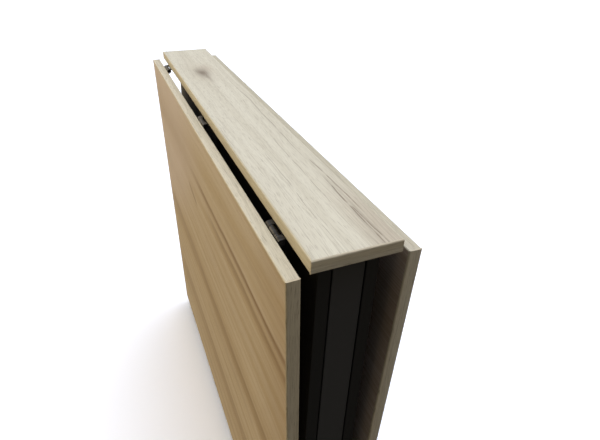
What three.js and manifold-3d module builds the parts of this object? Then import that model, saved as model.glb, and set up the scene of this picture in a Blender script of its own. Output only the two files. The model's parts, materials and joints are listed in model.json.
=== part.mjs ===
// A slim drop leaf table with swing-out gates, folded away: a narrow top on a central frame, a long
// leaf hanging on each side, and a gate lying flat against each side of the frame.
// Millimetres, +Z up. The origin is on the floor under the middle of the table. X runs across the
// table and Y along it, with the near end, where the gates' free legs stand, at -Y.
import * as THREE from 'three';
import { mergeVertices } from 'three/addons/utils/BufferGeometryUtils.js';
import Module from 'manifold-3d';

const wasm = await Module();
wasm.setup();

// Driving dimensions
const HEIGHT = 750;
const LENGTH = 800; // of the top and of both leaves
const TOP_WIDTH = 98;
const LEAF_DROP = 710; // from a leaf's inner edge to its outer edge
const BOARD = 15; // thickness of the top, the leaves and the gates

const EDGING = 2; // thickness of the edging strips
const EDGING_ROUND = 1.6; // radius of their outer corners
const EDGING_STEPS = 5; // flats around each rounded corner
const GLUE_LINE = 0.1; // between a board and its edging

const PIVOT_OUT = 4.5; // hinge pin's axis outside the top's long edge
const PIVOT_DOWN = 4.5; // hinge pin's axis below the top's underside
const OPEN_GAP = 1.5; // between the top and a raised leaf
const HINGE_SETBACK = 78; // from each end to the middle of the end hinges
const LEAF_REST_GAP = 0.3; // between a hanging leaf and the gate that stops it

const FRAME_THICK = 36; // across the table
const FRAME_SETBACK = 14; // from each end of the top
const LEG_DEPTH = 60; // along the table, also that of the posts and stiles
const UPPER_RAIL = 100; // heights of the frame's rails
const LOWER_RAIL = 80;
const LOWER_RAIL_FROM = 60; // the lower rails' height above the floor

const GATE_GAP = 1.5; // between the frame and a folded gate
const GATE_BELOW_TOP = 3; // room above the gates for the hinge plates
const GATE_RAIL = 80;
const GATE_HINGE_IN = 120; // from the gate's lowest and highest points to its hinges' middles

const GLIDE = 4; // height of the glides
const GLIDE_INSET = 2; // from the edges of the leg above
const PAD = [10, 40, 2.6]; // the felt pad on a gate's free leg

// A leaf hinge's knuckles fill its length between gaps: a short one at each end, on the plate
// under the top, and a long one between them, on the leaf's plate.
const LEAF_HINGE = {
  length: 38, width: 24, thick: 1.8, barrel: 4.2, pin: 1.5, knuckleGap: 0.4,
  endKnuckle: 9, holeRadius: 2, holeSpacing: 24, loosePin: true,
};
// A gate hinge's pin is welded into the post plate, so it is one piece with it.
const GATE_HINGE = {
  length: 50, width: 13.5, thick: 1.5, barrel: 2.5, pin: 0.9, knuckleGap: 0.4,
  endKnuckle: 15, holeRadius: 1.8, holeSpacing: 30, loosePin: false,
};
const PIN_CLEARANCE = 0.15; // radial, between a pin and its knuckles
const HINGE_PLAY = 0.3; // between a hinge and the boards beside it
const ROUND_SIDES = 24; // flats around a pin, a knuckle or a screw hole
const OVERLAP = 1; // how far a cutter or a joined piece runs into or past its neighbour

// Colours and finishes
const FINISH = {
  oak: { color: 0xcfc4ad, roughness: 0.55, metalness: 0 },
  edging: { color: 0xc4b99f, roughness: 0.5, metalness: 0 },
  charcoal: { color: 0x2b2a29, roughness: 0.6, metalness: 0 },
  black: { color: 0x121212, roughness: 0.6, metalness: 0 },
  steel: { color: 0x8a8c8e, roughness: 0.35, metalness: 1 },
  plastic: { color: 0x1a1a1a, roughness: 0.5, metalness: 0 },
  felt: { color: 0x3a3835, roughness: 1, metalness: 0 },
};

const X = new THREE.Vector3(1, 0, 0);
const Y = new THREE.Vector3(0, 1, 0);
const Z = new THREE.Vector3(0, 0, 1);
const SIDES = { left: -1, right: 1 };

function named(name, geometry, finish) {
  const mesh = new THREE.Mesh(geometry, new THREE.MeshStandardMaterial(FINISH[finish]));
  mesh.name = name;
  return mesh;
}

// A board or block between two corners.
function block(name, from, to, finish) {
  const size = to.map((value, i) => value - from[i]);
  const mesh = named(name, new THREE.BoxGeometry(...size), finish);
  mesh.position.set(...from.map((value, i) => value + size[i] / 2));
  return mesh;
}

// ---- solids for cutting and joining

function toSolid(geometry) {
  const bare = geometry.clone();
  bare.deleteAttribute('normal');
  bare.deleteAttribute('uv');
  const merged = mergeVertices(bare);
  return new wasm.Manifold(new wasm.Mesh({
    numProp: 3,
    vertProperties: new Float32Array(merged.attributes.position.array),
    triVerts: new Uint32Array(merged.index.array),
  }));
}

function toGeometry(solid) {
  const { vertProperties, triVerts } = solid.getMesh();
  const geometry = new THREE.BufferGeometry();
  geometry.setAttribute('position', new THREE.BufferAttribute(vertProperties, 3));
  geometry.setIndex(new THREE.BufferAttribute(triVerts, 1));
  geometry.computeVertexNormals();
  return geometry;
}

function solidBox(from, to) {
  const size = to.map((value, i) => value - from[i]);
  const geometry = new THREE.BoxGeometry(...size);
  return toSolid(geometry.translate(...from.map((value, i) => value + size[i] / 2)));
}

// A cylinder along Y between two values of y.
function solidRod(radius, from, to) {
  const geometry = new THREE.CylinderGeometry(radius, radius, to - from, ROUND_SIDES);
  return toSolid(geometry.translate(0, (from + to) / 2, 0));
}

// ---- boards with edging

// One strip of edging, centred, along Y, with its outer face at x = 0 and its board at -X.
function edgingGeometry(length) {
  const half = BOARD / 2;
  const round = EDGING_ROUND;
  const outline = new THREE.Shape();
  outline.moveTo(-EDGING, -half);
  outline.lineTo(-round, -half);
  outline.absarc(-round, -half + round, round, -Math.PI / 2, 0);
  outline.lineTo(0, half - round);
  outline.absarc(-round, half - round, round, 0, Math.PI / 2);
  outline.lineTo(-EDGING, half);
  outline.closePath();
  const geometry = new THREE.ExtrudeGeometry(outline, {
    depth: length, bevelEnabled: false, curveSegments: EDGING_STEPS,
  });
  return geometry.translate(0, 0, -length / 2).rotateX(-Math.PI / 2);
}

// A board of this size with a strip along each edge, centred on the origin and lying flat. The
// strips across its ends cover the ends of the long ones. The edges at -X, +X, -Y and +Y are named.
function edgedBoard(name, width, length, edgeNames) {
  const group = new THREE.Group();
  const inset = EDGING + GLUE_LINE;
  const half = [width / 2 - inset, length / 2 - inset, BOARD / 2];
  group.add(block(`${name}_board`, half.map((value) => -value), half, 'oak'));

  const strips = [
    { turn: Math.PI, at: [-width / 2, 0], span: length - 2 * inset },
    { turn: 0, at: [width / 2, 0], span: length - 2 * inset },
    { turn: -Math.PI / 2, at: [0, -length / 2], span: width },
    { turn: Math.PI / 2, at: [0, length / 2], span: width },
  ];
  strips.forEach(({ turn, at, span }, i) => {
    const strip = named(`${name}_edging_${edgeNames[i]}`, edgingGeometry(span), 'edging');
    strip.rotation.z = turn;
    strip.position.set(...at, 0);
    group.add(strip);
  });
  return group;
}

// ---- hinges

// Where along the pin each plate's knuckles are: the end ones on one plate, the middle one on the other.
function knuckleSpans({ length, endKnuckle, knuckleGap }, isEndPlate) {
  const end = length / 2;
  const inner = end - endKnuckle;
  return isEndPlate
    ? [[-end, -inner], [inner, end]]
    : [[-inner + knuckleGap, inner - knuckleGap]];
}

// A hinge plate with its knuckles. The pin runs along Y through the origin. The flat of the plate
// runs out along +X, level with the top of the knuckles, and is screwed to what is above it.
function hingePlateGeometry(hinge, isEndPlate) {
  const { length, width, thick, barrel, pin, holeRadius, holeSpacing, loosePin } = hinge;
  const flatFrom = barrel + HINGE_PLAY;
  const holdsPin = isEndPlate && !loosePin;
  let plate = solidBox([flatFrom, -length / 2, barrel - thick], [width, length / 2, barrel]);
  for (const [from, to] of knuckleSpans(hinge, isEndPlate)) {
    const neck = solidBox([0, from, barrel - thick], [flatFrom + OVERLAP, to, barrel]);
    plate = plate.add(solidRod(barrel, from, to)).add(neck);
    if (!holdsPin) {
      const bore = solidRod(pin + PIN_CLEARANCE, from - OVERLAP, to + OVERLAP);
      plate = plate.subtract(bore);
    }
  }
  if (holdsPin) plate = plate.add(solidRod(pin, -length / 2, length / 2));
  const holeAcross = (flatFrom + width) / 2;
  const drill = solidRod(holeRadius, -barrel, barrel).rotate([90, 0, 0]);
  for (const along of [-holeSpacing / 2, holeSpacing / 2]) {
    plate = plate.subtract(drill.translate([holeAcross, along, barrel]));
  }
  return toGeometry(plate);
}

// Puts a hinge plate's pin at a point, with its flat running one way and its outer face another.
function placePlate(mesh, at, flatTowards, faceTowards) {
  const pinAlong = new THREE.Vector3().crossVectors(faceTowards, flatTowards);
  mesh.quaternion.setFromRotationMatrix(
    new THREE.Matrix4().makeBasis(flatTowards, pinAlong, faceTowards),
  );
  mesh.position.copy(at);
  return mesh;
}

// A leaf hinge's loose pin, along Y.
function hingePin(name, at) {
  const { pin, length } = LEAF_HINGE;
  const geometry = new THREE.CylinderGeometry(pin, pin, length, ROUND_SIDES);
  const mesh = named(name, geometry, 'steel');
  mesh.position.copy(at);
  return mesh;
}

// ---- where things are

const topUnderside = HEIGHT - BOARD;
const pivotX = TOP_WIDTH / 2 + PIVOT_OUT;
const pivotZ = topUnderside - PIVOT_DOWN;
const endHingeY = LENGTH / 2 - HINGE_SETBACK;
const hingePlaces = { near: -endHingeY, middle: 0, far: endHingeY };

const frameEnd = LENGTH / 2 - FRAME_SETBACK;
const frameSide = FRAME_THICK / 2;
const gateInner = frameSide + GATE_GAP;
const gateOuter = gateInner + BOARD;
const gateTop = topUnderside - GATE_BELOW_TOP;

// A gate hinge's pin stands clear of the post by its barrel, and of the gate's back edge too. The
// gate then stands centred on the table's length once it has swung out at right angles.
const gatePinX = frameSide + HINGE_PLAY + GATE_HINGE.barrel;
const gatePinY = -(BOARD / 2 + gateInner - gatePinX);
const gateBackY = gatePinY - GATE_HINGE.barrel - HINGE_PLAY;
const gateHingeHeights = {
  lower: LOWER_RAIL_FROM + GATE_HINGE_IN,
  upper: gateTop - GATE_HINGE_IN,
};

// A hanging leaf leans in until its inner face meets the gate, just above the leaf's outer edge.
const leafBelowPivot = LEAF_DROP - (PIVOT_OUT - OPEN_GAP);
const leanReach = Math.hypot(PIVOT_DOWN, leafBelowPivot);
const leanAcross = pivotX - gateOuter - LEAF_REST_GAP;
const lean = Math.atan2(PIVOT_DOWN, leafBelowPivot) + Math.asin(leanAcross / leanReach);

// ---- the sub-assemblies

function makeTop() {
  const top = edgedBoard('top', TOP_WIDTH, LENGTH, ['left', 'right', 'near', 'far']);
  top.position.z = HEIGHT - BOARD / 2;
  return top;
}

function makeFrame() {
  const frame = new THREE.Group();
  const across = (name, y, z) => frame.add(
    block(name, [-frameSide, y[0], z[0]], [frameSide, y[1], z[1]], 'charcoal'),
  );
  const legInner = frameEnd - LEG_DEPTH;
  const upperRailFrom = topUnderside - UPPER_RAIL;
  const lowerRailTo = LOWER_RAIL_FROM + LOWER_RAIL;
  across('frame_near_leg', [-frameEnd, -legInner], [GLIDE, topUnderside]);
  across('frame_far_leg', [legInner, frameEnd], [GLIDE, topUnderside]);
  across('frame_upper_rail', [-legInner, legInner], [upperRailFrom, topUnderside]);
  across('frame_lower_rail', [-legInner, legInner], [LOWER_RAIL_FROM, lowerRailTo]);
  across('frame_centre_post', [-LEG_DEPTH / 2, LEG_DEPTH / 2], [lowerRailTo, upperRailFrom]);

  for (const [end, sign] of [['near', -1], ['far', 1]]) {
    const middle = sign * (frameEnd - LEG_DEPTH / 2);
    frame.add(makeGlide(`frame_${end}_leg_glide`, -frameSide, frameSide, middle));
  }
  return frame;
}

// A glide under a leg that spans these values of x.
function makeGlide(name, fromX, toX, middleY) {
  const reach = LEG_DEPTH / 2 - GLIDE_INSET;
  return block(
    name,
    [fromX + GLIDE_INSET, middleY - reach, 0],
    [toX - GLIDE_INSET, middleY + reach, GLIDE],
    'plastic',
  );
}

function makeGate(side) {
  const gate = new THREE.Group();
  const sign = SIDES[side];
  const faces = [sign * gateInner, sign * gateOuter].sort((a, b) => a - b);
  const board = (part, y, z) => gate.add(
    block(`${side}_gate_${part}`, [faces[0], y[0], z[0]], [faces[1], y[1], z[1]], 'black'),
  );
  const legTo = -frameEnd + LEG_DEPTH;
  const stileFrom = gateBackY - LEG_DEPTH;
  board('free_leg', [-frameEnd, legTo], [GLIDE, gateTop]);
  board('hinge_stile', [stileFrom, gateBackY], [LOWER_RAIL_FROM, gateTop]);
  board('upper_rail', [legTo, stileFrom], [gateTop - GATE_RAIL, gateTop]);
  board('lower_rail', [legTo, stileFrom], [LOWER_RAIL_FROM, LOWER_RAIL_FROM + GATE_RAIL]);

  const legMiddle = -frameEnd + LEG_DEPTH / 2;
  gate.add(makeGlide(`${side}_gate_glide`, ...faces, legMiddle));
  const padMiddle = [(faces[0] + faces[1]) / 2, -frameEnd + PAD[1] / 2 + GLIDE_INSET];
  gate.add(block(
    `${side}_gate_pad`,
    [padMiddle[0] - PAD[0] / 2, padMiddle[1] - PAD[1] / 2, gateTop],
    [padMiddle[0] + PAD[0] / 2, padMiddle[1] + PAD[1] / 2, gateTop + PAD[2]],
    'felt',
  ));

  const outwards = X.clone().multiplyScalar(sign);
  for (const [level, height] of Object.entries(gateHingeHeights)) {
    const name = `${side}_gate_hinge_${level}`;
    const pinAt = new THREE.Vector3(sign * gatePinX, gatePinY, height);
    const postPlate = named(`${name}_post_plate`, hingePlateGeometry(GATE_HINGE, true), 'steel');
    const gatePlate = named(`${name}_gate_plate`, hingePlateGeometry(GATE_HINGE, false), 'steel');
    gate.add(placePlate(postPlate, pinAt, Y, outwards.clone().negate()));
    gate.add(placePlate(gatePlate, pinAt, outwards, Y.clone().negate()));
  }
  return gate;
}

// The plates under the top and the pins, which stay still when a leaf moves.
function makeTopHingeParts(side) {
  const group = new THREE.Group();
  const inwards = X.clone().multiplyScalar(-SIDES[side]);
  for (const [place, y] of Object.entries(hingePlaces)) {
    const name = `${side}_hinge_${place}`;
    const pinAt = new THREE.Vector3(SIDES[side] * pivotX, y, pivotZ);
    const plate = named(`${name}_top_plate`, hingePlateGeometry(LEAF_HINGE, true), 'steel');
    group.add(placePlate(plate, pinAt, inwards, Z));
    group.add(hingePin(`${name}_pin`, pinAt));
  }
  return group;
}

// A leaf with its hinge plates, made raised on the right-hand side about a pin at the origin, then
// swung down past vertical to where it leans on the gate.
function makeLeaf(side) {
  const turned = side === 'left';
  const ends = turned ? ['far', 'near'] : ['near', 'far'];
  const raised = new THREE.Group();
  const board = edgedBoard(`${side}_leaf`, LEAF_DROP, LENGTH, ['inner', 'outer', ...ends]);
  const innerEdgeX = -(PIVOT_OUT - OPEN_GAP);
  board.position.set(innerEdgeX + LEAF_DROP / 2, 0, PIVOT_DOWN + BOARD / 2);
  raised.add(board);
  for (const [place, y] of Object.entries(hingePlaces)) {
    const plate = named(
      `${side}_hinge_${place}_leaf_plate`, hingePlateGeometry(LEAF_HINGE, false), 'steel',
    );
    raised.add(placePlate(plate, new THREE.Vector3(0, turned ? -y : y, 0), X, Z));
  }
  raised.rotation.y = Math.PI / 2 + lean;

  const placed = new THREE.Group();
  placed.add(raised);
  if (turned) placed.rotation.z = Math.PI;
  placed.position.set(SIDES[side] * pivotX, 0, pivotZ);
  return placed;
}

const table = new THREE.Group();
table.add(makeTop(), makeFrame());
for (const side of Object.keys(SIDES)) {
  table.add(makeTopHingeParts(side), makeLeaf(side), makeGate(side));
}

export default table;
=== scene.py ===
"""Looks for the drop leaf table: finishes, screws, floor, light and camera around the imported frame.

Metres, +Z up, in the frame's own axes: X across the table, Y along it with the near end at -Y.
Finishes are worked out in millimetres, from where a point is on the table at rest.
"""

import json
import math

import bmesh
import bpy
from mathutils import Matrix, Vector


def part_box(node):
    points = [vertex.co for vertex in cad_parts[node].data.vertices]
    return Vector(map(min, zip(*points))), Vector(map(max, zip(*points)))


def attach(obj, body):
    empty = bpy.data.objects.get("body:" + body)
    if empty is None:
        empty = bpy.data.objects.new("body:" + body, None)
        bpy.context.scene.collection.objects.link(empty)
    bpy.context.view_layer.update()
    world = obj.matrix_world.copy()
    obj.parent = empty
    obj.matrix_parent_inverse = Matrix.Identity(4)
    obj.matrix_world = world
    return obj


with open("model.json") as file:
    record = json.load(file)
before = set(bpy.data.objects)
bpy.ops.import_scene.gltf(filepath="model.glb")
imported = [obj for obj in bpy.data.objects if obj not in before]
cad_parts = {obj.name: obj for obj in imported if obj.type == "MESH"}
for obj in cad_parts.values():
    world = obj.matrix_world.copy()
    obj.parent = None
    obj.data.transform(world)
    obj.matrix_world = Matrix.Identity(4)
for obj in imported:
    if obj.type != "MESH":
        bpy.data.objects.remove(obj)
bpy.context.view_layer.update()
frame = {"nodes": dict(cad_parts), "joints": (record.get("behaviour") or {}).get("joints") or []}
nodes = frame["nodes"]

MM = 0.001
SIDES = {"left": -1, "right": 1}

# Colours are linear.
TOP_PALE = (0.64, 0.62, 0.52)
TOP_MID = (0.585, 0.56, 0.46)
TOP_DARK = (0.30, 0.268, 0.21)
TOP_ROSE = (0.43, 0.355, 0.27)
TOP_KNOT = (0.20, 0.162, 0.12)
# The leaves' pale, mid and dark tones are warmer and darker than the top's, though both are one decor:
# partly a honey tone, partly painted shade for the hanging leaves.
LEAF_PALE = (0.60, 0.52, 0.41)
LEAF_MID = (0.515, 0.42, 0.285)
LEAF_DARK = (0.34, 0.245, 0.15)
LEAF_ROSE = (0.63, 0.55, 0.52)
LEAF_RING = (0.26, 0.165, 0.093)
EDGE_PALE = (0.60, 0.56, 0.445)
EDGE_MID = (0.52, 0.48, 0.36)
EDGE_DARK = (0.24, 0.207, 0.14)
# Tones for strips that run across or upright: a darker, more olive copy of the edging's, as painted shade
# on the end faces.
SHADED_END_PALE = (0.60, 0.545, 0.42)
SHADED_END_MID = (0.52, 0.455, 0.325)
SHADED_END_DARK = (0.22, 0.18, 0.115)
CHARCOAL = (0.034, 0.034, 0.034)
BLACK = (0.008, 0.008, 0.0075)
ZINC = (0.075, 0.075, 0.079)
ZINC_DULL = (0.035, 0.036, 0.038)
PLASTIC = (0.018, 0.018, 0.018)
FELT = (0.045, 0.042, 0.038)

# The sky's glows: which way each one is, how narrow it is, and its colour times its strength
SKY = (
    ((0.18, 0.03, 1), 9, (3.50, 3.62, 4.00)),
    ((-0.80, 0.58, 0.20), 6, (2.95, 2.33, 1.41)),
    ((0.80, 0.30, 0.50), 3, (0.6, 0.6, 0.6)),
    ((0, 0.85, 0.50), 3, (0.6, 0.6, 0.6)),
    ((0.45, -1, 0.10), 8, (0.56, 0.48, 0.35)),
)
GROUND_LIGHT = 0.03
STAGE_REACH = 40  # metres from the table to the floor's edge

# The camera, fitted to the edges in the photograph: metres and degrees
CAMERA_PLACE = (-0.1998, -0.6936, 1.0129)
CAMERA_DOWN = 28.81
CAMERA_RIGHT = 22.10
CAMERA_ROLL = 1.26
CAMERA_LENS = 28.17
CAMERA_SHIFT = (0.0333, -0.0667)

# Seeds say where noise is read, so that no two boards look alike
TOP_SEED = 3.1
LEAF_SEEDS = {"left": 5.3, "right": 17.9}
EDGING_SEED = 8.7

# Marks in the top's decor: along and across are millimetres from its middle
KNOT = {"along": 207, "across": -2, "length": 70, "width": 24}
TOP_CRACKS = (
    {"seed": 11, "at": 32, "start": -210, "end": 140, "slope": -0.01},
    {"seed": 23, "at": 35, "start": -350, "end": -190, "slope": -0.01},
    {"seed": 37, "at": 16, "start": -330, "end": -110, "width": 0.6},
    {"seed": 41, "at": 41, "start": -420, "end": -250, "slope": 0.03, "width": 1.3},
    {"seed": 47, "at": 26, "start": -420, "end": -300, "slope": -0.02, "width": 1.1},
    {"seed": 53, "at": -14, "start": -380, "end": -160, "width": 0.5},
)

# Marks in a leaf's decor: across is millimetres down from its hinged edge. amount is how dark each is
LEAF_BANDS = (
    {"amount": 0.40, "at": 352, "width": 30},
    {"amount": 0.40, "at": 560, "width": 50},
    {"amount": 0.12, "at": 455, "width": 18},
    {"amount": 0.12, "at": 215, "width": 20},
)
LEAF_RINGS = (
    (0.95, {"seed": 0, "at": 102, "start": -520, "end": 90, "spread": 17}),
    (0.75, {"seed": 5, "at": 127, "start": -520, "end": -20, "spread": 22}),
    (0.80, {"seed": 9, "at": 172, "start": 20, "end": 95, "spread": 15, "slope": -0.25}),
    (0.45, {"seed": 12, "at": 335, "start": -500, "end": 480, "spread": 45, "slope": -0.03}),
    (0.30, {"seed": 14, "at": 395, "start": -300, "end": 60, "spread": 20}),
    (0.25, {"seed": 17, "at": 60, "start": -480, "end": -150, "spread": 8}),
    (0.40, {"seed": 21, "at": 520, "start": -400, "end": 420, "spread": 50}),
    (0.30, {"seed": 24, "at": 640, "start": -400, "end": 300, "spread": 30}),
)

# Screws, measured in a hinge plate's own axes: out from the pin, and apart along it
LEAF_SCREWS = {"out": 14.25, "apart": 24, "head": 3.3, "dome": 1.5}
GATE_SCREWS = {"out": 8.15, "apart": 30, "head": 2.9, "dome": 1.3}
LEAF_BARREL = 4.2
GATE_BARREL = 2.5
LEAF_PLATE = 1.8
GATE_PLATE = 1.5
SCREW_SIDES = 24


# ---- shader graphs, written as arithmetic

def connect(tree, value, entry):
    if isinstance(value, Field):
        tree.links.new(value.socket, entry)
    elif hasattr(value, "__len__"):
        entry.default_value = (*value, 1)[:len(entry.default_value)]
    else:
        entry.default_value = value


class Field:
    """A value or colour that varies over a surface. Arithmetic on it adds Math nodes to its tree."""

    def __init__(self, tree, socket):
        self.tree = tree
        self.socket = socket

    def math(self, operation, *others, clamp=False):
        node = self.tree.nodes.new("ShaderNodeMath")
        node.operation = operation
        node.use_clamp = clamp
        for value, entry in zip((self, *others), node.inputs):
            connect(self.tree, value, entry)
        return Field(self.tree, node.outputs[0])

    def __add__(self, other):
        return self.math("ADD", other)

    def __sub__(self, other):
        return self.math("SUBTRACT", other)

    def __mul__(self, other):
        return self.math("MULTIPLY", other)

    def __truediv__(self, other):
        return self.math("DIVIDE", other)

    def __neg__(self):
        return self.math("MULTIPLY", -1)

    def size(self):
        return self.math("ABSOLUTE")

    def ramp(self, low, high):
        """Goes smoothly from 0 at low to 1 at high. low may be the larger of the two."""
        node = self.tree.nodes.new("ShaderNodeMapRange")
        node.interpolation_type = "SMOOTHSTEP"
        for value, name in ((self, "Value"), (low, "From Min"), (high, "From Max")):
            connect(self.tree, value, node.inputs[name])
        return Field(self.tree, node.outputs[0])

    def hill(self, middle, width):
        """1 at the middle, falling away like a bell of this width to each side."""
        away = (self - middle) / width
        return (-(away * away)).math("EXPONENT")


class Paint:
    """A material being made. x, y and z are a point's place on the table at rest, in millimetres."""

    def __init__(self, name):
        self.material = bpy.data.materials.new(name)
        self.material.use_nodes = True
        self.tree = self.material.node_tree
        self.shader = self.tree.nodes["Principled BSDF"]
        coordinates = self.tree.nodes.new("ShaderNodeTexCoord")
        self.x, self.y, self.z = [axis / MM for axis in self.split(coordinates.outputs["Object"])]
        self.facing_x, _, self.facing_z = self.split(coordinates.outputs["Normal"])

    def split(self, socket):
        node = self.tree.nodes.new("ShaderNodeSeparateXYZ")
        self.tree.links.new(socket, node.inputs[0])
        return [Field(self.tree, output) for output in node.outputs]

    def noise(self, a, b, c, detail=2.0, roughness=0.5):
        """Smooth noise around 0.5 whose features are one unit of a, b and c in size."""
        place = self.tree.nodes.new("ShaderNodeCombineXYZ")
        for value, entry in zip((a, b, c), place.inputs):
            connect(self.tree, value, entry)
        node = self.tree.nodes.new("ShaderNodeTexNoise")
        self.tree.links.new(place.outputs[0], node.inputs["Vector"])
        for name, value in (("Scale", 1), ("Detail", detail), ("Roughness", roughness)):
            node.inputs[name].default_value = value
        return Field(self.tree, node.outputs[0])

    def mix(self, amount, first, second):
        """Goes from the first colour to the second as amount goes from 0 to 1."""
        node = self.tree.nodes.new("ShaderNodeMix")
        node.data_type = "RGBA"
        colours = [entry for entry in node.inputs if entry.type == "RGBA"]
        connect(self.tree, amount, node.inputs[0])
        connect(self.tree, first, colours[0])
        connect(self.tree, second, colours[1])
        result = next(output for output in node.outputs if output.type == "RGBA")
        return Field(self.tree, result)

    def bump(self, height, strength=1.0):
        """Raises the surface by a height in millimetres."""
        node = self.tree.nodes.new("ShaderNodeBump")
        node.inputs["Strength"].default_value = strength
        node.inputs["Distance"].default_value = MM
        connect(self.tree, height, node.inputs["Height"])
        self.tree.links.new(node.outputs[0], self.shader.inputs["Normal"])

    def set(self, **values):
        for name, value in values.items():
            connect(self.tree, value, self.shader.inputs[name.replace("_", " ")])
        return self.material


# ---- oak decor

def oak_grain(paint, along, across, through, seed):
    """Layers of straight oak grain: broad growth bands, streaks, fibres and open pores, each 0 to 1."""
    drift = paint.noise(along / 240, across / 60, through + seed) - 0.5
    ripple = paint.noise(along / 55, across / 16, through + seed) - 0.5
    line = across + drift * 16 + ripple * 1.8
    return {
        "line": line,
        "band": paint.noise(along / 1100, line / 15, through + seed, 2, 0.5),
        "streak": paint.noise(along / 170, line / 2.4, through + seed, 3, 0.6),
        "fibre": paint.noise(along / 34, line / 1.1, through + seed, 2, 0.6),
        "pore": paint.noise(along / 17, line / 0.6, through + seed, 1).ramp(0.60, 0.72),
    }


def around_knot(along, across, knot):
    """across, drawn in towards a knot so that the grain bends around it, and how near the knot is."""
    near = along.hill(knot["along"], knot["length"]) * across.hill(knot["across"], knot["width"])
    bent = across - (across - knot["across"]) * near * 0.75
    return bent, near


def crack(paint, along, line, seed, at, start, end, slope=0.0, width=0.8, wander=5.0):
    """A thin dark line along the grain, between two places, with ends that fade out."""
    middle = along * slope + at
    drift = (paint.noise(along / 90, seed, 0) - 0.5) * wander
    away = (line - middle - drift).size()
    fade = abs(end - start) * 0.2
    ends = along.ramp(start, start + fade) * along.ramp(end, end - fade)
    broken = paint.noise(along / 24, seed, 3).ramp(0.32, 0.52)
    return away.ramp(width, width * 0.2) * ends * broken


def ring(paint, along, line, seed, at, start, end, spread, slope=0.0, wander=8.0):
    """The dark edge of a growth ring: soft on its upper side, fading out over its spread below."""
    middle = along * slope + at
    drift = (paint.noise(along / 110, seed, 0) - 0.5) * wander
    away = line - middle - drift
    edge = away.ramp(-5, 2) * away.ramp(spread, 0)
    fade = abs(end - start) * 0.25
    ends = along.ramp(start, start + fade) * along.ramp(end, end - fade)
    uneven = paint.noise(along / 60, line / 6, seed + 2, 2) * 0.6 + 0.6
    return edge * ends * uneven


def oak(paint, along, across, through, seed, pale, mid, dark, depth=1.0):
    """The plain part of the decor: its grain, its colour, and its surface height in millimetres."""
    grain = oak_grain(paint, along, across, through, seed)
    colour = paint.mix(grain["band"].ramp(0.36, 0.66), pale, mid)
    colour = paint.mix(grain["streak"].ramp(0.50, 0.78) * (0.34 * depth), colour, dark)
    colour = paint.mix(grain["fibre"].ramp(0.50, 0.76) * (0.34 * depth), colour, dark)
    colour = paint.mix(grain["pore"] * (0.45 * depth), colour, dark)
    height = grain["pore"] * -0.05 + grain["fibre"] * 0.02 + grain["streak"] * 0.015
    return grain, colour, height


def finish_oak(paint, grain, colour, height):
    dulling = grain["pore"] * 0.15 + grain["streak"] * 0.12
    scuffs = paint.noise(paint.x / 70, paint.y / 70, paint.z / 70, 3).ramp(0.45, 0.75)
    paint.bump(height)
    return paint.set(Base_Color=colour, Roughness=dulling + scuffs * 0.06 + 0.43)


def top_oak():
    paint = Paint("oak_top")
    through = paint.z * 0.3
    bent, near = around_knot(paint.y, paint.x, KNOT)
    grain, colour, height = oak(
        paint, paint.y, bent, through, TOP_SEED, TOP_PALE, TOP_MID, TOP_DARK, depth=1.35)

    upper = paint.facing_z.ramp(0.2, 0.6)
    swirl = paint.noise(paint.y / 30, paint.x / 11, 7, 3) - 0.5
    knot_x = paint.x + swirl * 8
    knot_y = paint.y + swirl * 16
    heart = knot_y.hill(KNOT["along"], 30) * knot_x.hill(KNOT["across"] - 2, 12)
    tail = knot_y.hill(KNOT["along"] - 22, 30) * knot_x.hill(KNOT["across"] + 2, 5)
    halo = knot_y.hill(KNOT["along"] + 31, 24) * knot_x.hill(KNOT["across"] + 12, 11)
    colour = paint.mix(near * upper * 0.18, colour, TOP_ROSE)
    colour = paint.mix(halo * upper * 0.45, colour, TOP_ROSE)
    colour = paint.mix(heart.math("MAXIMUM", tail * 0.75) * upper, colour, TOP_KNOT)
    near_end = paint.y.ramp(-230, -390) * paint.x.ramp(6, 34) * upper
    colour = paint.mix(near_end * 0.5, colour, TOP_ROSE)
    colour = paint.mix(near_end * grain["streak"].ramp(0.38, 0.62) * 0.5, colour, TOP_DARK)
    for mark in TOP_CRACKS:
        line = crack(paint, paint.y, grain["line"], **mark)
        colour = paint.mix(line * upper * 0.8, colour, TOP_KNOT)
        height = height - line * upper * 0.08
    return finish_oak(paint, grain, colour, height)


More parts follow.
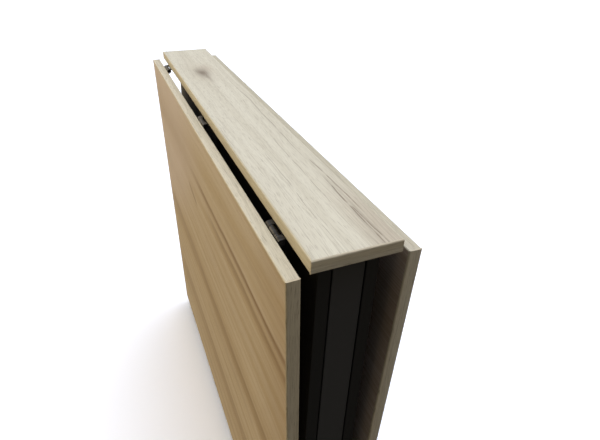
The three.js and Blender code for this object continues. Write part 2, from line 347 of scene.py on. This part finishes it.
def leaf_oak(side):
    """A leaf's decor. across is measured down the hanging leaf from its hinged edge."""
    paint = Paint(f"oak_{side}_leaf")
    top_of_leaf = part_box(f"{side}_leaf_board")[1].z / MM
    across = -paint.z + top_of_leaf
    along = paint.y * -SIDES[side]
    through = (paint.facing_x * SIDES[side]).ramp(-0.2, 0.2) * 9
    seed = LEAF_SEEDS[side]
    grain, colour, height = oak(
        paint, along, across, through, seed, LEAF_PALE, LEAF_MID, LEAF_DARK, depth=0.7)

    drift = (paint.noise(along / 260, across / 120, seed) - 0.5) * 70
    slant = across - along * 0.62 - 132 + drift
    rose = slant.ramp(75, -95) * along.ramp(-120, 180)
    colour = paint.mix(rose * 0.8, colour, LEAF_ROSE)
    colour = paint.mix(rose * across.hill(95, 40) * 0.35, colour, LEAF_DARK)
    colour = paint.mix(along.ramp(-260, -420) * 0.42, colour, LEAF_DARK)
    # Painted shade: the leaf's inner face is darkened, its streaks most, for the shade it hangs in.
    inner = (paint.facing_x * -SIDES[side]).ramp(0.2, 0.8)
    colour = paint.mix(inner * grain["streak"].ramp(0.35, 0.65) * 0.6, colour, LEAF_DARK)
    colour = paint.mix(inner * 0.25, colour, LEAF_DARK)
    wisps = grain["streak"].ramp(0.25, 0.75) * 0.5 + 0.5
    for mark in LEAF_BANDS:
        band = (across + drift * 0.5).hill(mark["at"], mark["width"])
        colour = paint.mix(band * wisps * mark["amount"], colour, LEAF_DARK)
    for amount, mark in LEAF_RINGS:
        edge = ring(paint, along, grain["line"], **{**mark, "seed": seed + mark["seed"]})
        colour = paint.mix(edge * amount, colour, LEAF_RING)
        height = height - edge * 0.03
    return finish_oak(paint, grain, colour, height)


def edging_oak(direction):
    """An edging strip whose grain runs along this axis."""
    paint = Paint(f"oak_edging_along_{direction}")
    along = getattr(paint, direction)
    first, second = [getattr(paint, axis) for axis in "xyz" if axis != direction]
    across = first + second
    # Strips running across or upright take the darker olive copy of the edging tones, which is painted
    # shade.
    shades = (EDGE_PALE, EDGE_MID, EDGE_DARK) if direction == "y" else (SHADED_END_PALE, SHADED_END_MID, SHADED_END_DARK)
    grain, colour, height = oak(paint, along, across, 0, EDGING_SEED, *shades, depth=1.15)
    dash = paint.noise(along / 9, across / 0.8, 4).ramp(0.60, 0.72)
    colour = paint.mix(dash * 0.3, colour, EDGE_DARK)
    return finish_oak(paint, grain, colour, height)


# ---- other finishes

def laminate(name, colour, lift):
    """A plain dark laminate with a fine pebbled surface and faint rubbing."""
    paint = Paint(name)
    pebble = paint.noise(paint.x / 0.7, paint.y / 0.7, paint.z / 0.7, 2)
    cloud = paint.noise(paint.x / 60, paint.y / 60, paint.z / 90, 3)
    rub = paint.noise(paint.x / 25, paint.y / 25, paint.z / 160, 4, 0.65).ramp(0.58, 0.80)
    lighter = tuple(part * (1 + lift) for part in colour)
    shade = paint.mix(pebble * 0.5 + cloud * 0.35 + rub * 0.3, colour, lighter)
    paint.bump(pebble * 0.03)
    paint.shader.inputs["Specular IOR Level"].default_value = 0.35
    return paint.set(Base_Color=shade, Roughness=cloud * 0.12 + pebble * 0.10 + 0.50 - rub * 0.12)


def zinc(name):
    """Zinc plating gone dark and dull, with drawn lines, patches and a little grime."""
    paint = Paint(name)
    drawn = paint.noise(paint.x / 0.25, paint.y / 9, paint.z / 0.25, 2)
    patch = paint.noise(paint.x / 6, paint.y / 6, paint.z / 6, 3)
    grime = paint.noise(paint.x / 3, paint.y / 3, paint.z / 3, 3).ramp(0.58, 0.78)
    colour = paint.mix(patch.ramp(0.35, 0.70), ZINC, ZINC_DULL)
    colour = paint.mix(grime * 0.35, colour, BLACK)
    paint.bump(drawn * 0.01)
    paint.shader.inputs["Metallic"].default_value = 1
    return paint.set(Base_Color=colour, Roughness=patch * 0.2 + drawn * 0.08 + grime * 0.2 + 0.22)


def moulded_plastic(name):
    paint = Paint(name)
    pebble = paint.noise(paint.x / 0.5, paint.y / 0.5, paint.z / 0.5, 2)
    scuff = paint.noise(paint.x / 4, paint.y / 12, paint.z / 4, 4, 0.7).ramp(0.55, 0.75)
    scuffed = tuple(part * 3 for part in PLASTIC)
    paint.bump(pebble * 0.04)
    colour = paint.mix(scuff * 0.6, PLASTIC, scuffed)
    return paint.set(Base_Color=colour, Roughness=scuff * 0.25 + pebble * 0.1 + 0.38)


def felt(name):
    paint = Paint(name)
    hair = paint.noise(paint.x / 0.35, paint.y / 1.4, paint.z / 0.35, 4, 0.7)
    tuft = paint.noise(paint.x / 2.5, paint.y / 2.5, paint.z / 2.5, 3)
    lighter = tuple(part * 2.4 for part in FELT)
    paint.bump(hair * 0.35 + tuft * 0.2)
    paint.shader.inputs["Sheen Weight"].default_value = 0.4
    colour = paint.mix(hair.ramp(0.3, 0.75) * 0.8 + tuft * 0.2, FELT, lighter)
    return paint.set(Base_Color=colour, Roughness=hair * 0.1 + 0.88)


def edging_direction(name):
    """Which way a strip runs: its grain runs the same way."""
    low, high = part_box(name)
    spans = dict(zip("xyz", high - low))
    return max(spans, key=spans.get)


def dress_nodes():
    """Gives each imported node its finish, and softens its sharp edges by a radius in millimetres."""
    edging = {direction: edging_oak(direction) for direction in "xyz"}
    steel = zinc("zinc_steel_detailed")
    finishes = (  # the first of these words in a node's name decides
        ("top_board", top_oak(), 0.1),
        ("left_leaf_board", leaf_oak("left"), 0.1),
        ("right_leaf_board", leaf_oak("right"), 0.1),
        ("plate", steel, 0.2),
        ("pin", steel, 0.2),
        ("glide", moulded_plastic("black_plastic_detailed"), 0.6),
        ("pad", felt("felt_detailed"), 0.7),
        ("gate", laminate("black_laminate_detailed", BLACK, 0.4), 0.8),
        ("frame", laminate("charcoal_laminate_detailed", CHARCOAL, 0.35), 0.8),
    )
    for name, node in nodes.items():
        if "edging" in name:
            finish, rounding = edging[edging_direction(name)], 0.15
        else:
            finish, rounding = next(rest for word, *rest in finishes if word in name)
        node.data.materials.clear()
        node.data.materials.append(finish)
        soften(node, rounding)
    return steel


def soften(piece, rounding):
    """Shades a piece smoothly, with its sharp edges rounded by this radius in millimetres."""
    weld = piece.modifiers.new("weld", "WELD")
    weld.merge_threshold = MM * 0.001
    bevel = piece.modifiers.new("rounding", "BEVEL")
    bevel.width = rounding * MM
    bevel.segments = 3
    bevel.limit_method = "ANGLE"
    bevel.angle_limit = math.radians(30)
    bevel.harden_normals = True
    normals = piece.data.attributes.get("custom_normal")
    if normals:
        piece.data.attributes.remove(normals)
    piece.data.polygons.foreach_set("use_smooth", [True] * len(piece.data.polygons))


# ---- screws

def screw_mesh(name, head, dome):
    """A raised screw head, sitting on z = 0 and facing +Z."""
    shape = bmesh.new()
    rings = [(head, 0.0), (head, dome * 0.25), (head * 0.93, dome * 0.55),
             (head * 0.72, dome * 0.83), (head * 0.5, dome * 0.95), (head * 0.46, dome)]
    loops = []
    for radius, height in rings:
        loops.append([
            shape.verts.new((
                radius * MM * math.cos(math.tau * i / SCREW_SIDES),
                radius * MM * math.sin(math.tau * i / SCREW_SIDES),
                height * MM,
            ))
            for i in range(SCREW_SIDES)
        ])
    for lower, upper in zip(loops, loops[1:]):
        for i in range(SCREW_SIDES):
            j = (i + 1) % SCREW_SIDES
            shape.faces.new((lower[i], lower[j], upper[j], upper[i]))
    shape.faces.new(reversed(loops[0]))
    shape.faces.new(loops[-1])
    mesh = bpy.data.meshes.new(name)
    shape.to_mesh(mesh)
    shape.free()
    return mesh


def cross_mesh(name, head, dome):
    """A cutter for the cross recess: two crossed wedges that narrow downwards."""
    shape = bmesh.new()
    for turn in (0, math.pi / 2):
        arm = bmesh.ops.create_cube(shape, size=1)["verts"]
        for vert in arm:
            low = vert.co.z < 0
            reach = head * (0.28 if low else 0.56)
            vert.co.x = math.copysign(reach, vert.co.x) * MM
            vert.co.y = math.copysign(head * 0.11, vert.co.y) * MM
            vert.co.z = dome * (0.3 if low else 1.3) * MM
        bmesh.ops.rotate(shape, verts=arm, matrix=Matrix.Rotation(turn, 3, "Z"))
    mesh = bpy.data.meshes.new(name)
    shape.to_mesh(mesh)
    shape.free()
    return mesh


def cut_screw(name, size):
    """The screw head with its recess cut in."""
    head = bpy.data.objects.new(name, screw_mesh(name, size["head"], size["dome"]))
    cutter = bpy.data.objects.new(name + "_cutter", cross_mesh(name, size["head"], size["dome"]))
    for made in (head, cutter):
        bpy.context.scene.collection.objects.link(made)
    cut = head.modifiers.new("recess", "BOOLEAN")
    cut.operation = "DIFFERENCE"
    cut.solver = "EXACT"
    cut.use_self = True
    cut.object = cutter
    shown = head.evaluated_get(bpy.context.evaluated_depsgraph_get())
    mesh = bpy.data.meshes.new_from_object(shown)
    for made in (head, cutter):
        bpy.data.objects.remove(made)
    return mesh


def plate_axes(flat_towards, face_towards, pin):
    """A hinge plate's own axes: X out along its flat, Y along the pin, Z out of the plate."""
    out = Vector(flat_towards)
    face = Vector(face_towards)
    along = face.cross(out)
    axes = Matrix((out, along, face)).transposed().to_4x4()
    return Matrix.Translation(pin) @ axes


def add_screws(plate, mesh, size, seat, axes, body):
    """Two screws in a plate, driven from its inner face: seat is that face's height over the pin."""
    for number, sign in ((1, -1), (2, 1)):
        spot = Matrix.Translation(Vector((size["out"], sign * size["apart"] / 2, seat)) * MM)
        turn = Matrix.Rotation(math.pi, 4, "X") @ Matrix.Rotation(0.4 + number * 1.1, 4, "Z")
        screw = bpy.data.objects.new(f"{plate}_screw_{number}", mesh)
        bpy.context.scene.collection.objects.link(screw)
        screw.matrix_world = axes @ spot @ turn
        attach(screw, body)


def middle_of(name):
    low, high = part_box(name)
    return (low + high) / 2


def screw_leaf_hinges(steel):
    mesh = cut_screw("leaf_hinge_screw", LEAF_SCREWS)
    mesh.materials.append(steel)
    seat = LEAF_BARREL - LEAF_PLATE
    for side, sign in SIDES.items():
        joint = next(j for j in frame["joints"] if j["child"] == f"{side}_leaf")
        swing = math.radians(joint["range_deg"][1])
        pivot = Vector(joint["pos_m"])
        for spot in ("near", "middle", "far"):
            pin = Vector((pivot.x, middle_of(f"{side}_hinge_{spot}_pin").y, pivot.z))
            top_axes = plate_axes((-sign, 0, 0), (0, 0, 1), pin)
            add_screws(f"{side}_hinge_{spot}_top_plate", mesh, LEAF_SCREWS, seat, top_axes, "frame")
            raised = plate_axes((sign, 0, 0), (0, 0, 1), Vector())
            hung = Matrix.Translation(pin) @ Matrix.Rotation(sign * swing, 4, "Y") @ raised
            add_screws(f"{side}_hinge_{spot}_leaf_plate", mesh, LEAF_SCREWS, seat, hung, f"{side}_leaf")


def screw_gate_hinges(steel):
    mesh = cut_screw("gate_hinge_screw", GATE_SCREWS)
    mesh.materials.append(steel)
    seat = GATE_BARREL - GATE_PLATE
    for side, sign in SIDES.items():
        for level in ("lower", "upper"):
            name = f"{side}_gate_hinge_{level}"
            plate_low, plate_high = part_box(f"{name}_post_plate")
            pin = Vector((
                (plate_high.x if sign > 0 else plate_low.x) - sign * GATE_BARREL * MM,
                plate_low.y + GATE_BARREL * MM,
                (plate_low.z + plate_high.z) / 2,
            ))
            post = plate_axes((0, 1, 0), (-sign, 0, 0), pin)
            gate = plate_axes((sign, 0, 0), (0, -1, 0), pin)
            add_screws(f"{name}_post_plate", mesh, GATE_SCREWS, seat, post, "frame")
            add_screws(f"{name}_gate_plate", mesh, GATE_SCREWS, seat, gate, "frame")


# ---- floor, light and camera

def set_stage(name, shape, finish):
    """A floor or backdrop that the camera sees, and that sends no light back to the table."""
    mesh = bpy.data.meshes.new(name)
    shape.to_mesh(mesh)
    shape.free()
    mesh.materials.append(finish)
    stage = bpy.data.objects.new(name, mesh)
    bpy.context.scene.collection.objects.link(stage)
    stage.visible_diffuse = False
    stage.visible_glossy = False
    return stage


def make_floor():
    """A pale floor, a little over white so that it reads as white where no shadow falls."""
    paint = Paint("pale_floor")
    mottle = paint.noise(paint.x / 40, paint.y / 40, 0, 3)
    paint.set(Base_Color=paint.mix(mottle, (1.08, 1.14, 1.25), (1.11, 1.17, 1.28)), Roughness=0.95)
    paint.shader.inputs["Specular IOR Level"].default_value = 0
    shape = bmesh.new()
    bmesh.ops.create_circle(shape, cap_ends=True, segments=96, radius=STAGE_REACH)
    set_stage("floor", shape, paint.material)


def make_backdrop():
    """A white dome around the floor, so that a low view has no dark horizon. Light passes through it."""
    paint = Paint("white_backdrop")
    mottle = paint.noise(paint.x / 4000, paint.y / 4000, paint.z / 4000, 3)
    paint.shader.inputs["Emission Strength"].default_value = 1
    paint.set(Base_Color=(0, 0, 0), Emission_Color=paint.mix(mottle, (1, 1, 1), (1.05, 1.05, 1.05)))
    shape = bmesh.new()
    bmesh.ops.create_uvsphere(shape, u_segments=64, v_segments=32, radius=STAGE_REACH * 0.98)
    backdrop = set_stage("backdrop", shape, paint.material)
    backdrop.visible_shadow = False


def make_light():
    """A soft sky: strong overhead and a little from the right, warm from the left, weak from the front."""
    world = bpy.data.worlds.new("studio")
    world.use_nodes = True
    bpy.context.scene.world = world
    tree = world.node_tree
    coordinates = tree.nodes.new("ShaderNodeTexCoord")
    split = tree.nodes.new("ShaderNodeSeparateXYZ")
    tree.links.new(coordinates.outputs["Generated"], split.inputs[0])
    x, y, z = [Field(tree, output) for output in split.outputs]

    totals = [GROUND_LIGHT] * 3
    for towards, sharpness, colour in SKY:
        direction = Vector(towards).normalized()
        facing = x * direction.x + y * direction.y + z * direction.z
        glow = facing.math("MAXIMUM", 0).math("POWER", sharpness)
        totals = [glow * part + total for total, part in zip(totals, colour)]
    colour = tree.nodes.new("ShaderNodeCombineColor")
    for total, entry in zip(totals, colour.inputs):
        connect(tree, total, entry)
    tree.links.new(colour.outputs[0], tree.nodes["Background"].inputs["Color"])


def make_camera():
    data = bpy.data.cameras.new("camera")
    data.lens = CAMERA_LENS
    data.sensor_width = 36
    data.shift_x, data.shift_y = CAMERA_SHIFT
    data.clip_start = 0.05
    camera = bpy.data.objects.new("camera", data)
    bpy.context.scene.collection.objects.link(camera)
    camera.matrix_world = (
        Matrix.Translation(CAMERA_PLACE)
        @ Matrix.Rotation(math.radians(-CAMERA_RIGHT), 4, "Z")
        @ Matrix.Rotation(math.radians(90 - CAMERA_DOWN), 4, "X")
        @ Matrix.Rotation(math.radians(CAMERA_ROLL), 4, "Z")
    )
    bpy.context.scene.camera = camera


bpy.context.scene.view_settings.view_transform = "Standard"
steel = dress_nodes()
screw_leaf_hinges(steel)
screw_gate_hinges(steel)
make_floor()
make_backdrop()
make_light()
make_camera()
